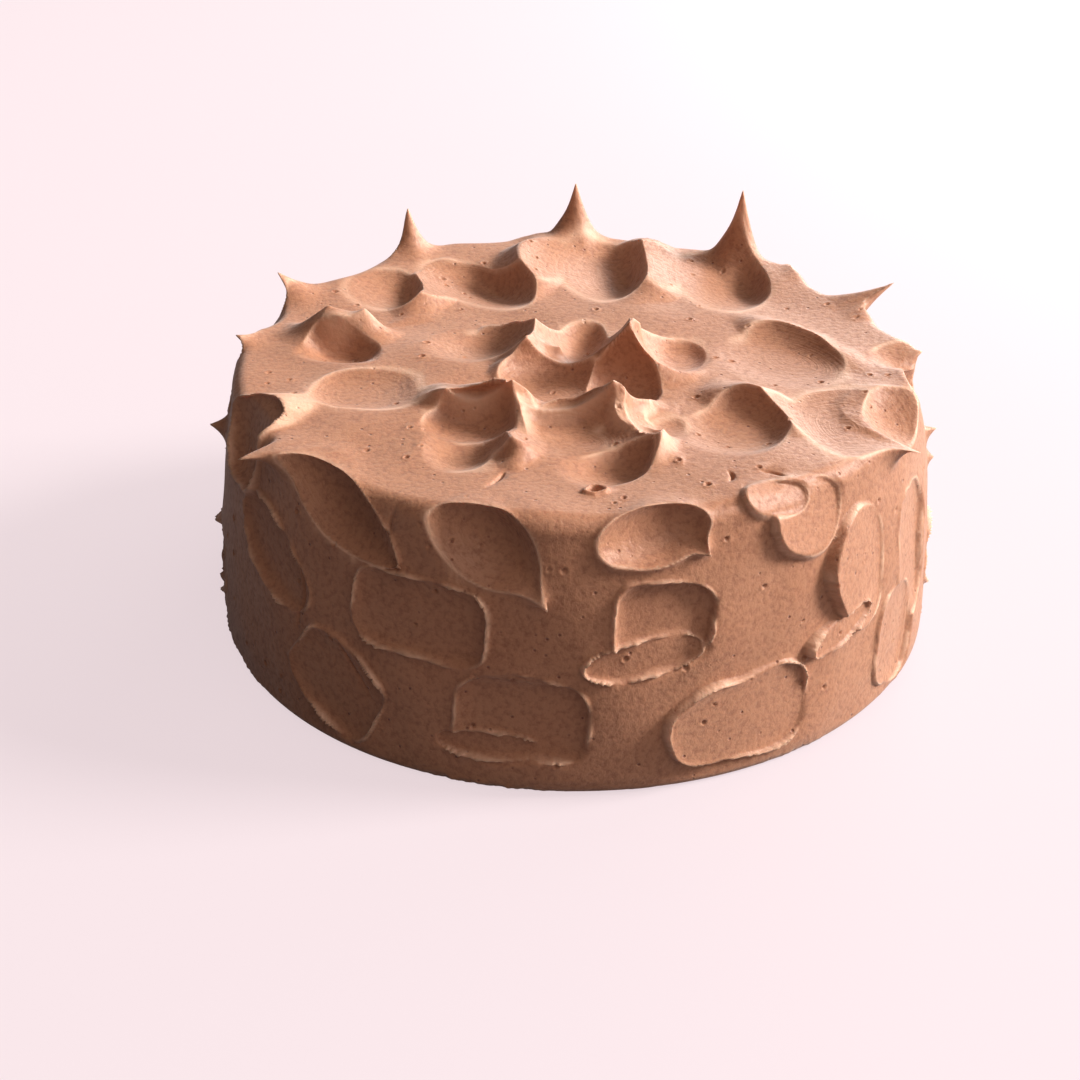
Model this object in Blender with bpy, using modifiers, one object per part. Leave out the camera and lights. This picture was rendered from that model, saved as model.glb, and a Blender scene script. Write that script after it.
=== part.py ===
"""A whole frosted malt cake: one solid, turned round and then marked all over with a palette knife.

The cake stands on z = 0 with its axis on Z. Its front is -Y. Lengths are in millimetres until the
last step, which scales them to metres.
"""
import math
import bpy
import numpy as np

MM = 0.001

# Driving dimensions of the cake, in millimetres
CAKE_HEIGHT = 78.8
TOP_RADIUS = 98.5
BELLY = 8.0
CORNER_ROUND = 5.0
FOOT_ROUND = 3.0

# How finely the blank is turned, and how many triangles the marked cake keeps
RING_GAP = 1.3
TURN_STEPS = 360
TRIANGLES = 11000

# Malt frosting: a milky light brown, satin where the knife has smoothed it
FROSTING_COLOUR = (0.42, 0.21, 0.125, 1.0)
FROSTING_ROUGHNESS = 0.5


def smooth(t):
    """0 below 0, 1 above 1, and an S-curve between."""
    t = np.clip(t, 0.0, 1.0)
    return t * t * (3 - 2 * t)


def waves(points, size, seed, count=7):
    """Smooth noise of about -1 to 1: a sum of sine waves about size long in seeded directions."""
    rng = np.random.default_rng(seed)
    total = np.zeros(len(points))
    for _ in range(count):
        way = rng.normal(size=3)
        way *= 2 * np.pi / (size * rng.uniform(0.6, 1.6)) / np.linalg.norm(way)
        total += np.sin(points @ way + rng.uniform(0, 2 * np.pi))
    return total / (1.2 * count ** 0.5)


def wall_radius(z):
    """The side's radius at height z: widest near the foot."""
    return TOP_RADIUS + BELLY * (1 - (z / CAKE_HEIGHT) ** 2)


def outward(phi):
    """The horizontal direction at azimuth phi: 0 is the front, -Y, and 90 is +X."""
    return np.array([math.sin(math.radians(phi)), -math.cos(math.radians(phi)), 0.0])


def place(centre, normal, right):
    """A tool's place: its centre and the directions right, up and out of the surface there."""
    return centre, right, np.cross(normal, right), normal


def on_top(x, y):
    return place(np.array([x, y, CAKE_HEIGHT]), np.array([0, 0, 1.0]), np.array([1.0, 0, 0]))


def on_corner(phi, tip, inset, drop):
    """A place near the top corner, its normal tip degrees above the horizontal."""
    t = math.radians(tip)
    centre = outward(phi) * (TOP_RADIUS - inset) + np.array([0, 0, CAKE_HEIGHT - drop])
    normal = outward(phi) * math.cos(t) + np.array([0, 0, math.sin(t)])
    return place(centre, normal, outward(phi + 90))


def on_wall(phi, z):
    return place(outward(phi) * wall_radius(z) + np.array([0, 0, z]), outward(phi), outward(phi + 90))


def turned_by(place, turn):
    """The place's right and up directions, turned anticlockwise by turn degrees."""
    centre, right, up, normal = place
    c, s = math.cos(math.radians(turn)), math.sin(math.radians(turn))
    return right * c + up * s, up * c - right * s


def press(icing, place, turn, size, depth, power=2.2, floor=2.0, taper=0.0, tilt=0.0, follow=0.6,
          lift=0.0, crisp=0.8, soft=0.8, lip=0.8, lip_in=0.9, lip_out=1.2, rough=0.3, patchy=0.4, seed=1):
    """One mark of the palette knife: a hollow of half-size size, its crisp wall towards turn.

    The outline is a superellipse of the given power, narrowed by taper towards turn. Inside it the
    surface becomes a floor: depth deep at the middle, and a plane that rises by tilt at the turn
    end. The floor follows the old surface by the share follow. Frosting pushed out stands on the
    outline as a lip, uneven by the share patchy.
    """
    centre, _, _, normal = place
    along, across = turned_by(place, turn)
    half_long, half_wide = size
    near = icing.near(centre, normal, 1.3 * math.hypot(half_long, half_wide) + 4 + soft + lip_out)
    rest = icing.rest[near] - centre
    local = np.stack([rest @ along, rest @ across, rest @ normal], 1)
    x, y, w = local.T
    u = x / half_long
    narrow = np.clip(1 - taper * np.clip(u, -1.2, 1.2), 0.12, 3)
    v = y / (half_wide * narrow)
    ring = (np.abs(u) ** power + np.abs(v) ** power) ** (1 / power) + 1e-6
    radius = np.hypot(x, y / narrow)
    wobble = rough * (waves(local, 12, seed + 50) + 0.4 * waves(local, 4, seed + 90))
    wobble += 0.09 * half_wide * waves(local, 34, seed + 30)
    edge = radius * (1 - 1 / ring) + wobble
    blend = soft + (crisp - soft) * smooth((u + 0.5) / 1.1)
    inside = smooth(0.5 - edge / blend)
    bowl = 1 - np.clip(ring, 0, 1) ** floor
    depth_here = follow * w - depth * bowl + tilt * u + lift
    flat = centre + np.outer(x, along) + np.outer(y, across) + np.outer(depth_here, normal)
    points = icing.points[near]
    points += inside[:, None] * (flat - points)
    crest = falling(edge, lip_in, lip_out) * lip * np.clip(1 + patchy * waves(local, 11, seed + 7), 0.1, 2)
    icing.points[near] = points + np.outer(crest, normal)


def falling(edge, inner, outer):
    """1 on the outline, falling to 0 at inner mm inside it and, more hollowly, at outer mm outside."""
    within = np.clip(1 + edge / inner, 0, 1) ** 1.5
    beyond = np.clip(1 - edge / outer, 0, 1) ** 2.3
    return np.where(edge < 0, within, beyond)


def heap(icing, place, turn, size, height, sharp=1.6, seed=1):
    """More frosting laid on: a mound of half-size size, whose height falls as (1 - r) to the power sharp."""
    centre, _, _, normal = place
    along, across = turned_by(place, turn)
    near = icing.near(centre, normal, 1.15 * max(size))
    rest = icing.rest[near] - centre
    far = np.hypot(rest @ along / size[0], rest @ across / size[1])
    far *= 1 + 0.1 * waves(rest, 1.2 * min(size), seed)
    icing.points[near] += np.outer(height * np.clip(1 - far, 0, 1) ** sharp, normal)


def scoop(icing, place, turn, size, depth, power=2.0, steep=2.0, skew=0.4, crisp=0.5, soft=8.0,
          lip=0.0, lip_out=8.0, rough=0.25, patchy=0.3, seed=1):
    """A swoop of the knife that only takes away: the surface is cut down to a bowl where it is higher.

    The bowl's height is depth * (t ** steep - 1), where t grows from 0 at the deepest point to 1 on
    the outline and on up the walls. skew moves the deepest point towards turn, which steepens the
    wall there. Two bowls leave a sharp crest between them. The cut's own edge is rounded by crisp
    at the turn end and by soft at the other, and lip is the frosting pushed up outside it.
    """
    centre, _, _, normal = place
    along, across = turned_by(place, turn)
    half_long, half_wide = size
    near = icing.near(centre, normal, 2.2 * max(size))
    rest = icing.rest[near] - centre
    local = np.stack([rest @ along, rest @ across, rest @ normal], 1)
    u, v = local[:, 0] / half_long, local[:, 1] / half_wide
    flat_ring = np.hypot(u, v) + 1e-6
    ring = (np.abs(u) ** power + np.abs(v) ** power) ** (1 / power) + 1e-6
    wobble = 0.06 * waves(local, 30, seed) + rough / half_wide * waves(local, 9, seed + 1)
    u, v = u * ring / flat_ring * (1 + wobble), v * ring / flat_ring * (1 + wobble)
    shifted = u - skew
    onward = shifted * skew
    t = (onward + np.sqrt(onward ** 2 + (shifted ** 2 + v ** 2) * (1 - skew ** 2))) / (1 - skew ** 2)
    points = icing.points[near]
    height = (points - centre) @ normal
    surface = height
    if lip:
        edge = (ring - 1) * half_wide
        pushed = lip * np.where(edge < 0, 1, np.clip(1 - edge / lip_out, 0, 1) ** 2.2)
        pushed *= np.clip(1 + patchy * waves(local, 14, seed + 7), 0.1, 2)
        surface = height + pushed
    bowl = depth * (t ** steep - 1)
    round_off = soft + (crisp - soft) * smooth((u + 0.6) / 1.2)
    share = np.clip(0.5 + 0.5 * (bowl - surface) / round_off, 0, 1)
    cut = bowl + (surface - bowl) * share - round_off * share * (1 - share)
    icing.points[near] = points + np.outer(cut - height, normal)


def curl(icing, point, radius, shift, full):
    """Bend what stands high near point over by shift: all of it at full mm up, less below."""
    near = icing.near(np.array(point), None, radius)
    rest = icing.rest[near]
    up = np.clip((icing.points[near, 2] - rest[:, 2]) / full, 0, 1.2) ** 1.6
    far = np.linalg.norm(rest - point, axis=1) / radius
    icing.points[near] += np.outer(up * smooth(1.6 * (1 - far)), shift)


def pull(icing, point, tip, width, power=3.2, curl=(0, 0, 0)):
    """Frosting pulled off the knife: a thin horn on a wide concave foot, bent by curl near its tip."""
    near = icing.near(np.array(point), None, 1.3 * width)
    rest = icing.rest[near] - point
    far = np.linalg.norm(rest, axis=1) / width * (1 + 0.10 * waves(rest, 10, 1))
    rise = np.clip(1 - far, 0, 1) ** power
    icing.points[near] += np.outer(rise, tip) + np.outer(rise ** 2.2, curl)


def fold(icing, place, start, middle, end, height, width, lean=0.0):
    """A thin crest, or a crack where height is negative, on an arc through three (right, up) points.

    The height swells from nothing at the ends of the arc to its full value at the middle.
    """
    centre, right, up, normal = place
    start, middle, end = (np.array(p, float) for p in (start, middle, end))
    handle = 2 * middle - (start + end) / 2
    near = icing.near(centre, normal, np.abs([start, handle, end]).max() * 1.5 + 2 * width)
    rest = icing.rest[near] - centre
    spot = np.stack([rest @ right, rest @ up], 1)
    gap, along = np.full(len(spot), np.inf), np.zeros(len(spot))
    steps = np.linspace(0, 1, 13)[:, None]
    arc = (1 - steps) ** 2 * start + 2 * steps * (1 - steps) * handle + steps ** 2 * end
    for i in range(len(arc) - 1):
        run = arc[i + 1] - arc[i]
        t = np.clip((spot - arc[i]) @ run / (run @ run), 0, 1)
        here = np.linalg.norm(spot - arc[i] - t[:, None] * run, axis=1)
        closer = here < gap
        gap[closer], along[closer] = here[closer], (i + t[closer]) / (len(arc) - 1)
    swell = np.sin(np.pi * np.clip(along, 0.02, 0.98)) ** 0.6
    crest = height * np.clip(1 - gap / width, 0, 1) ** 1.5 * swell
    across = np.array([-(end - start)[1], (end - start)[0]]) / np.linalg.norm(end - start)
    sideways = right * across[0] + up * across[1]
    icing.points[near] += np.outer(crest, normal + lean * sideways)


class Icing:
    """The frosting's vertices: where they were turned, and where the knife has moved them since."""

    def __init__(self, mesh):
        turned = np.empty(3 * len(mesh.vertices), np.float32)
        mesh.vertices.foreach_get("co", turned)
        self.rest = turned.reshape(-1, 3).astype(float) / MM
        self.points = self.rest.copy()
        self.loose = self.rest[:, 2] > 0.01
        directions = np.empty(3 * len(mesh.vertices), np.float32)
        mesh.vertices.foreach_get("normal", directions)
        sway = 0.9 * waves(self.rest, 70, 3) + 0.35 * waves(self.rest, 28, 4)
        sway *= smooth(self.rest[:, 2] / 6)
        self.points += directions.reshape(-1, 3) * sway[:, None]

    def near(self, centre, normal, reach):
        """The vertices within reach of centre, none from the far side and none from the flat foot."""
        gap = self.rest - centre
        close = (np.einsum('ij,ij->i', gap, gap) < reach * reach) & self.loose
        if normal is not None:
            close &= gap @ normal > -30
        return np.nonzero(close)[0]
# Flat dabs of the knife: crisp at the end that stands proud, soft where they run out.
DAB = dict(floor=6, follow=0.85, crisp=1.0, soft=2.2, lip=0.6, lip_in=0.9, lip_out=0.9, patchy=1.2,
           rough=0.3)
TONGUE = {**DAB, 'soft': 6}




def corner_point(phi, z=CAKE_HEIGHT - 1.0, inset=1.5):
    return outward(phi) * (TOP_RADIUS - inset) + np.array([0, 0, z])


def wall_point(phi, z):
    return outward(phi) * wall_radius(z) + np.array([0, 0, z])


def carve_top(icing):
    """The swirls of the flat top: first the frosting is heaped up, then swooped away from the back on."""
    for x, y, turn, half_long, half_wide, height in (
            (18, -5, 0, 21, 19, 25), (-7, 3, 0, 17, 16, 20), (-17, 13, -40, 15, 8, 8),
            (-15, -10, 50, 13, 8, 7), (-73, 15, 0, 17, 11, 9), (-62, 13, 0, 11, 10, 6),
            (-45, 49, 75, 26, 11, 13), (-14, 66, 85, 30, 12, 13), (23, 66, 87, 32, 13, 14),
            (66, 11, -50, 27, 11, 7), (51, -35, -50, 24, 12, 8), (-24, -32, -8, 23, 11, 12),
            (-16, -48, -82, 24, 9, 18), (6, -37, 15, 23, 10, 18), (17, -50, -62, 20, 8, 14)):
        heap(icing, on_top(x, y), turn, (half_long, half_wide), height, sharp=1.5, seed=int(x) + 200)
    dune = dict(steep=1.4, skew=0.7, crisp=0.4, soft=1.5, rough=0.15)
    scoop(icing, on_top(46, 58), 10, (14.5, 27), 6.5, seed=11, **dune)
    scoop(icing, on_top(8, 66), 5, (13.2, 26), 6.5, seed=12, **dune)
    scoop(icing, on_top(-31, 53), 40, (12.5, 23), 6.5, seed=13, **dune)
    scoop(icing, on_top(-60, 48), 5, (11, 15), 4.5, seed=9, **dune)
    scoop(icing, on_top(-69, 2), 75, (7.5, 11), 5, power=2.6, steep=2.5, skew=0.5, crisp=0.4, soft=4,
          rough=0.15, seed=14)
    bowl = dict(crisp=0.3, soft=2, rough=0.15)
    scoop(icing, on_top(60, -1), 40, (14, 21), 2.2, steep=3, skew=0.4, seed=15, **bowl)
    scoop(icing, on_top(31, 1), 80, (12, 8), 3, steep=2.5, skew=0.2, seed=16, **bowl)
    scoop(icing, on_top(1, 9), 80, (16, 8), 5, skew=0.2, seed=17, **bowl)
    scoop(icing, on_top(43, -46), 42, (14, 15), 3.2, steep=3, skew=0.4, seed=19, **bowl)
    flat = dict(power=2.5, steep=3, skew=0.2, crisp=0.3, soft=1, lip=0.7, lip_out=2, rough=0.15)
    scoop(icing, on_top(-59, -25), 180, (13.5, 12), 1.8, seed=18, **flat)
    scoop(icing, on_top(75, -43), 195, (14, 20), 1.5, seed=20, **flat)
    scoop(icing, on_top(-29, 8), 10, (11, 12), 3, skew=0.3, seed=25, **bowl)
    scoop(icing, on_top(-6, -21), 75, (10.5, 12.8), 3.5, steep=3, skew=0.1, seed=24, **bowl)
    scoop(icing, on_top(13, -24), 68, (9.3, 11.6), 4.5, steep=3.2, skew=0.2, seed=23, **bowl)
    scoop(icing, on_top(26, -45), 70, (8, 7), 2, steep=2.2, skew=0.1, seed=28, **bowl)
    scoop(icing, on_top(-29, -46), 82, (9.5, 12), 4, power=2.2, steep=2.8, skew=0.15, seed=21, **bowl)
    scoop(icing, on_top(-30, -60), 0, (9.5, 13), 3.5, steep=2.4, skew=0.15, seed=26, **bowl)
    scoop(icing, on_top(1, -53), 65, (10, 13), 2.5, steep=1.9, skew=0.15, seed=22, **bowl)
    scoop(icing, on_top(9, -68), 30, (13, 11), 5, steep=2.4, skew=0.35, seed=27, **bowl)
    curl(icing, (17, -6, CAKE_HEIGHT), 18, (0, -4, 0), 13)
    curl(icing, (-8, 1, CAKE_HEIGHT), 18, (0, -4, 0), 12)
    curl(icing, (-24, -31, CAKE_HEIGHT), 20, (1, -5, -1), 8)
    curl(icing, (8, -37, CAKE_HEIGHT), 22, (1, -5, -1), 9)
    pull(icing, (17, -6, CAKE_HEIGHT), (1.5, -2, 5), 9, power=2.4)
    pull(icing, (-6, 1, CAKE_HEIGHT), (2, -2, 4), 9, power=2.4)
    pull(icing, (9, -38, CAKE_HEIGHT), (1, -2, 6), 11, power=2.2)
    pull(icing, (-18, -36, CAKE_HEIGHT), (1, -2, 4), 9, power=2.2)
    for start, middle, end, height, lean in (
            ((-41, -32), (-28, -36), (-17, -35), 3, -0.5), ((-18, -34), (-14, -43), (-12, -54), 2.5, -0.3),
            ((-15, -42), (0, -41), (11, -38), 2.5, -0.5), ((11, -38), (12, -46), (17, -52), 2, -0.3),
            ((18, -46), (25, -56), (20, -70), 2.5, -0.5), ((-76, 12), (-68, 11), (-58, 14), 2.5, -0.5)):
        fold(icing, on_top(0, 0), start, middle, end, height, 4, lean=lean)


def carve_corner(icing):
    """The scoops that bite into the top corner, and the horns that were pulled off them."""
    bite = dict(skew=0.0, crisp=3, soft=3, rough=0.1)
    for phi, half_long, half_wide, depth in ((123, 16, 12, 6), (163, 14, 9, 3), (-164, 16, 10, 3),
                                             (-132, 16, 12, 4), (-106, 12, 10, 4), (106, 11, 9, 3)):
        scoop(icing, on_corner(phi, 45, 0, 1), 0, (half_long, half_wide), depth, seed=abs(phi), **bite)
    leaf = dict(steep=2.2, skew=0.35, crisp=0.3, soft=0.6, lip=2.2, lip_out=2.2, rough=0.2, patchy=0.4)
    scoop(icing, on_corner(-37.5, 14, 0, 8), 66, (9, 21), 5.5, power=1.7, seed=31, **leaf)
    scoop(icing, on_corner(-12.5, 18, 0, 8.5), 58, (9.5, 14.5), 4.5, power=1.8, seed=32, **leaf)
    scoop(icing, on_corner(11.5, 25, 0, 5.5), 12, (13.5, 7.5), 4, seed=33, **leaf)
    flap = dict(floor=3, follow=0.6, crisp=1.0, soft=3, lip=0.5, lip_in=0.8, lip_out=0.8, rough=0.2)
    press(icing, on_corner(37, 28, 0, 9), 165, (12, 10), 0.6, power=2.4, tilt=2.2, lift=1.8, seed=34, **flap)
    press(icing, on_corner(32, 50, 2, 3), 172, (10, 5), 0.4, power=2.2, tilt=1.8, lift=1.4, seed=36, **flap)
    press(icing, on_corner(-66, 20, 0, 8), 190, (14, 13), 4.0, power=3, floor=4, taper=0.2, follow=0.35,
          lip=1.5, lip_in=1.2, lip_out=2, seed=35)
    scoop(icing, on_corner(92, 60, 6, 0), 0, (9, 14), 3.5, skew=0.0, crisp=1, soft=4, seed=37)
    scoop(icing, on_corner(68, 55, 6, 1), 20, (13, 11), 4, skew=0.3, crisp=0.5, soft=2, lip=1,
          lip_out=3, seed=38)
    pull(icing, corner_point(180), (0, 0, 20), 17, power=3.5)
    pull(icing, corner_point(146.4), (0, 0, 24), 17, power=3.5)
    pull(icing, corner_point(-146), (0, 0, 16.5), 15, power=3.5)
    pull(icing, corner_point(-117), (-9, 3, 9), 14)
    pull(icing, corner_point(116), (14, 2, 8), 15)
    pull(icing, corner_point(-95), (-7, 0, 4), 10)
    pull(icing, corner_point(95), (8, 0, 2), 12)
    pull(icing, corner_point(59), (11, -4, -2), 13)
    pull(icing, corner_point(-51), (-11, -4, 2), 10, power=2.6, curl=(-3, -1, -3))
    pull(icing, wall_point(-5.5, 60.5), (4, -3, -5), 8)
    pull(icing, wall_point(18.5, 70), (3, -2.5, -2), 6)
    pull(icing, wall_point(-27.5, 64), (3, -2.5, -5), 8)
    pull(icing, wall_point(86, 71), (3, 0, 0), 6)
    pull(icing, wall_point(83, 61), (3.5, 0, 1), 7)
    pull(icing, wall_point(85, 51), (2.5, 0, 0), 6)


def carve_wall(icing):
    """The flat dabs of the side: each floor is tilted, one end sunk and the other standing proud."""
    press(icing, on_wall(-22.8, 47.7), 178, (19.5, 11.5), 1.8, power=4, seed=41, **DAB)
    press(icing, on_wall(-6.8, 22.5), 178, (17.5, 12.5), 1.8, power=4, seed=42, **DAB)
    press(icing, on_wall(-12, 14), 180, (14, 4), 0.3, tilt=0.6, lift=-1.2, seed=43, **TONGUE)
    press(icing, on_wall(13.3, 50.3), 180, (13.5, 11), 1.8, power=3.4, taper=-0.15, tilt=1.2, seed=44, **DAB)
    press(icing, on_wall(10, 40.5), 186, (16, 5), 0.3, tilt=1.7, lift=-0.3, seed=45, **TONGUE)
    press(icing, on_wall(25, 18), 184, (20.5, 12.5), 0.6, power=3, taper=0.15, tilt=1.8, lift=1.0,
          seed=46, **DAB)
    press(icing, on_wall(47.5, 49), 190, (12.5, 18), 0.4, taper=0.1, tilt=2.2, lift=1.7, seed=47, **DAB)
    press(icing, on_wall(43, 34.8), 192, (13, 4), 0.3, tilt=1.2, lift=1.4, seed=52, **DAB)
    press(icing, on_wall(65, 40), 185, (12, 20), 0.8, power=3, tilt=1.0, lift=0.3, seed=53, **DAB)
    press(icing, on_wall(58, 20), 170, (12, 15), 0.8, power=3, tilt=1.2, lift=0.3, seed=48, **DAB)
    press(icing, on_wall(-51.5, 48.5), 150, (19, 10), 2.4, taper=-0.2, seed=49, **DAB)
    press(icing, on_wall(-37.1, 20), 150, (16, 13), 1.5, power=3, tilt=0.8, seed=50, **DAB)
    pull(icing, wall_point(-88, 56), (-6, 0, 1), 9)
    pull(icing, wall_point(-84, 22), (-6, 0, 1), 9)


def carve_back(icing):
    """The far side goes on like the near one: dabs in two rows, and scoops under the corner."""
    rng = np.random.default_rng(5)
    for row, height in enumerate((20, 47)):
        for phi in np.arange(88 + 13 * row, 280, 27):
            size = rng.uniform(14, 20), rng.uniform(10, 13)
            spot = on_wall(phi + rng.uniform(-4, 4), height + rng.uniform(-3, 3))
            press(icing, spot, 180 + rng.uniform(-25, 25), size, rng.uniform(0.8, 1.8),
                  power=rng.uniform(2.6, 4), tilt=rng.uniform(0, 2.2), seed=int(phi) + 60, **DAB)
    leaf = dict(steep=2.2, skew=0.35, crisp=0.3, soft=0.6, lip=2, lip_out=2.2, rough=0.2, power=1.8)
    for phi in (84, 113, 137, 168, 194, 221, 246, 268):
        spot = on_corner(phi + rng.uniform(-3, 3), 20, 0, rng.uniform(9, 11))
        size = rng.uniform(8, 9.5), rng.uniform(13, 16)
        scoop(icing, spot, rng.uniform(40, 65), size, 4.5, seed=int(phi), **leaf)


def work_frosting(icing):
    carve_back(icing)
    carve_wall(icing)
    carve_top(icing)
    carve_corner(icing)


def clear_scene():
    for thing in list(bpy.data.objects):
        bpy.data.objects.remove(thing, do_unlink=True)


def quarter(centre_r, centre_z, radius, start):
    """Points of a quarter circle that runs clockwise from the angle start, as radius and height."""
    angles = np.radians(np.linspace(start, start - 90, 7))
    return [(centre_r + radius * math.cos(a), centre_z + radius * math.sin(a)) for a in angles]


def cake_profile():
    """The blank's outline at +X, from the top's centre over the corner and down the side to the foot."""
    corner_z = CAKE_HEIGHT - CORNER_ROUND
    corner = quarter(wall_radius(corner_z) - CORNER_ROUND, corner_z, CORNER_ROUND, 90)
    wall = [(wall_radius(z), z) for z in np.linspace(corner_z, FOOT_ROUND, 40)[1:-1]]
    foot = quarter(wall_radius(FOOT_ROUND) - FOOT_ROUND, FOOT_ROUND, FOOT_ROUND, 0)
    outline = np.array([(0, CAKE_HEIGHT)] + corner + wall + foot)
    run = np.concatenate([[0], np.cumsum(np.hypot(*np.diff(outline, axis=0).T))])
    even = np.linspace(0, run[-1], int(run[-1] / RING_GAP))
    radius = np.interp(even, run, outline[:, 0])
    height = np.interp(even, run, outline[:, 1])
    underside = [(share * radius[-1], 0.0) for share in (0.9, 0.5, 0.0)]
    return list(zip(radius, height)) + underside


def turned_blank():
    """The bare cake: its profile turned about Z by a Screw modifier, as a mesh of its own."""
    profile = cake_profile()
    mesh = bpy.data.meshes.new("blank_profile")
    edges = [(i, i + 1) for i in range(len(profile) - 1)]
    mesh.from_pydata([(r * MM, 0.0, z * MM) for r, z in profile], edges, [])
    guide = bpy.data.objects.new("blank_profile", mesh)
    bpy.context.scene.collection.objects.link(guide)
    screw = guide.modifiers.new("turn", 'SCREW')
    screw.axis = 'Z'
    screw.steps = screw.render_steps = TURN_STEPS
    screw.use_merge_vertices = True
    screw.merge_threshold = 0.00001
    view = bpy.context.evaluated_depsgraph_get()
    blank = bpy.data.meshes.new_from_object(guide.evaluated_get(view))
    bpy.data.objects.remove(guide, do_unlink=True)
    bpy.data.meshes.remove(mesh)
    return blank


def frosting():
    material = bpy.data.materials.new("malt_frosting")
    material.use_nodes = True
    shader = material.node_tree.nodes["Principled BSDF"]
    shader.inputs["Base Color"].default_value = FROSTING_COLOUR
    shader.inputs["Roughness"].default_value = FROSTING_ROUGHNESS
    shader.inputs["Metallic"].default_value = 0.0
    return material


def make_cake():
    """Turn the blank, work the frosting over, and thin the mesh out where the surface is calm."""
    clear_scene()
    mesh = turned_blank()
    icing = Icing(mesh)
    work_frosting(icing)
    mesh.vertices.foreach_set("co", (icing.points * MM).ravel())
    mesh.update()
    mesh.shade_smooth()
    mesh.materials.append(frosting())
    cake = bpy.data.objects.new("cake", mesh)
    collection = bpy.data.collections.new("malt_cake")
    bpy.context.scene.collection.children.link(collection)
    collection.objects.link(cake)
    mesh.calc_loop_triangles()
    thin = cake.modifiers.new("thin", 'DECIMATE')
    thin.ratio = TRIANGLES / len(mesh.loop_triangles)
    thin.use_collapse_triangulate = True
    return cake


make_cake()
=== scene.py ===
# %% [markdown]
# # A malt cake, frosted and worked over with a palette knife
#
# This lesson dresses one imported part: a whole round cake under a thick coat of malt frosting. The
# real cake is made by spreading the frosting as a plain drum and then pressing, swooping and
# pulling it with a small palette knife. We do the same here. A smooth drum is worked out as a grid
# of points, and every mark of the knife is a function that moves the points near it.

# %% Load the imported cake
import math
import bpy
import numpy as np
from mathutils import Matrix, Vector


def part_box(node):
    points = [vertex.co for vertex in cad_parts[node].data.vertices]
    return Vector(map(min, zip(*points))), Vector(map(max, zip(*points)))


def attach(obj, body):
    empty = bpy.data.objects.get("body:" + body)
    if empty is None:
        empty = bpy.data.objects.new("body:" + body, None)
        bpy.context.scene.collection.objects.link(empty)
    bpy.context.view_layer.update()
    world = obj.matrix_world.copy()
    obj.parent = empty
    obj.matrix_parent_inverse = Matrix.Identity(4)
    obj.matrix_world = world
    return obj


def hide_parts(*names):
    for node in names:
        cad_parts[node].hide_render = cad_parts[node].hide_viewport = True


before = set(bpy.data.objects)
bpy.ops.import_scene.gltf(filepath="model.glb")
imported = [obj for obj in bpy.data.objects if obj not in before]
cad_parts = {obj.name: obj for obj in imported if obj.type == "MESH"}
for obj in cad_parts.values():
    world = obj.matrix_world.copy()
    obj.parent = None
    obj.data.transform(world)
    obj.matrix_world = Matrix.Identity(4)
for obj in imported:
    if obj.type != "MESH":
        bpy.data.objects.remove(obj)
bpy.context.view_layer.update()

packed_low, packed_high = (np.array(corner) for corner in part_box("cake"))
print("packed cake, mm:", np.round((packed_high - packed_low) * 1000, 1))

# %% [markdown]
# ## The drum
#
# The knife's marks are easiest to read in millimetres, so the whole form is worked out in them and
# turned to metres once, when the mesh is made. The drum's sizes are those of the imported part: 79 mm
# tall, 197 mm across at the top edge, and a little wider low on the side, where frosting settles.

# %% The drum's sizes
CAKE_HEIGHT = 78.8
TOP_RADIUS = 98.5
BELLY = 8.0
CORNER_ROUND = 5.0
FOOT_ROUND = 3.0


def wall_radius(z):
    """The side's radius at height z: the top's, and at the foot BELLY more, by 1 - (z / height) ** 2."""
    return TOP_RADIUS + BELLY * (1 - (z / CAKE_HEIGHT) ** 2)


def outward(phi):
    """The horizontal direction at azimuth phi: 0 is the front, -Y, and 90 is +X."""
    return np.array([math.sin(math.radians(phi)), -math.cos(math.radians(phi)), 0.0])


print("drum, mm:", CAKE_HEIGHT, "tall,", 2 * TOP_RADIUS, "across its top,", 2 * wall_radius(0), "at its foot")

# %% [markdown]
# Nothing on a cake is straight or even. A noise texture could sway the surface when it is rendered,
# but the knife has to cut into what is really there, so the unsteadiness goes into the points. An
# S-curve eases one surface into the next, and a sum of sine waves stands in for a hand that wavers.

# %% Easing and wavering
def smooth(t):
    """0 below 0, 1 above 1, and the S-curve t * t * (3 - 2 * t) between."""
    t = np.clip(t, 0.0, 1.0)
    return t * t * (3 - 2 * t)


def waves(points, size, seed, count=7):
    """Smooth noise of about -1 to 1: a sum of sine waves about size long in seeded directions."""
    rng = np.random.default_rng(seed)
    total = np.zeros(len(points))
    for _ in range(count):
        way = rng.normal(size=3)
        way *= 2 * np.pi / (size * rng.uniform(0.6, 1.6)) / np.linalg.norm(way)
        total += np.sin(points @ way + rng.uniform(0, 2 * np.pi))
    return total / (1.2 * count ** 0.5)


print("S-curve at 0, 1/4, 1/2, 3/4 and 1:", smooth(np.arange(5) / 4))

# %% [markdown]
# The drum itself is a turned surface: a profile of rings, each a radius and a height, carried round
# the axis. A Screw modifier could turn it, but the marks have to move its points, so the grid is
# worked out directly. This first half runs along the profile, from the foot to the middle of the top.

# %% The drum's profile
CURVE_STEPS = 40
SIDE_STEPS = 80
UNDERSIDE = (0.3, 0.6, 0.85, 0.97)


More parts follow.
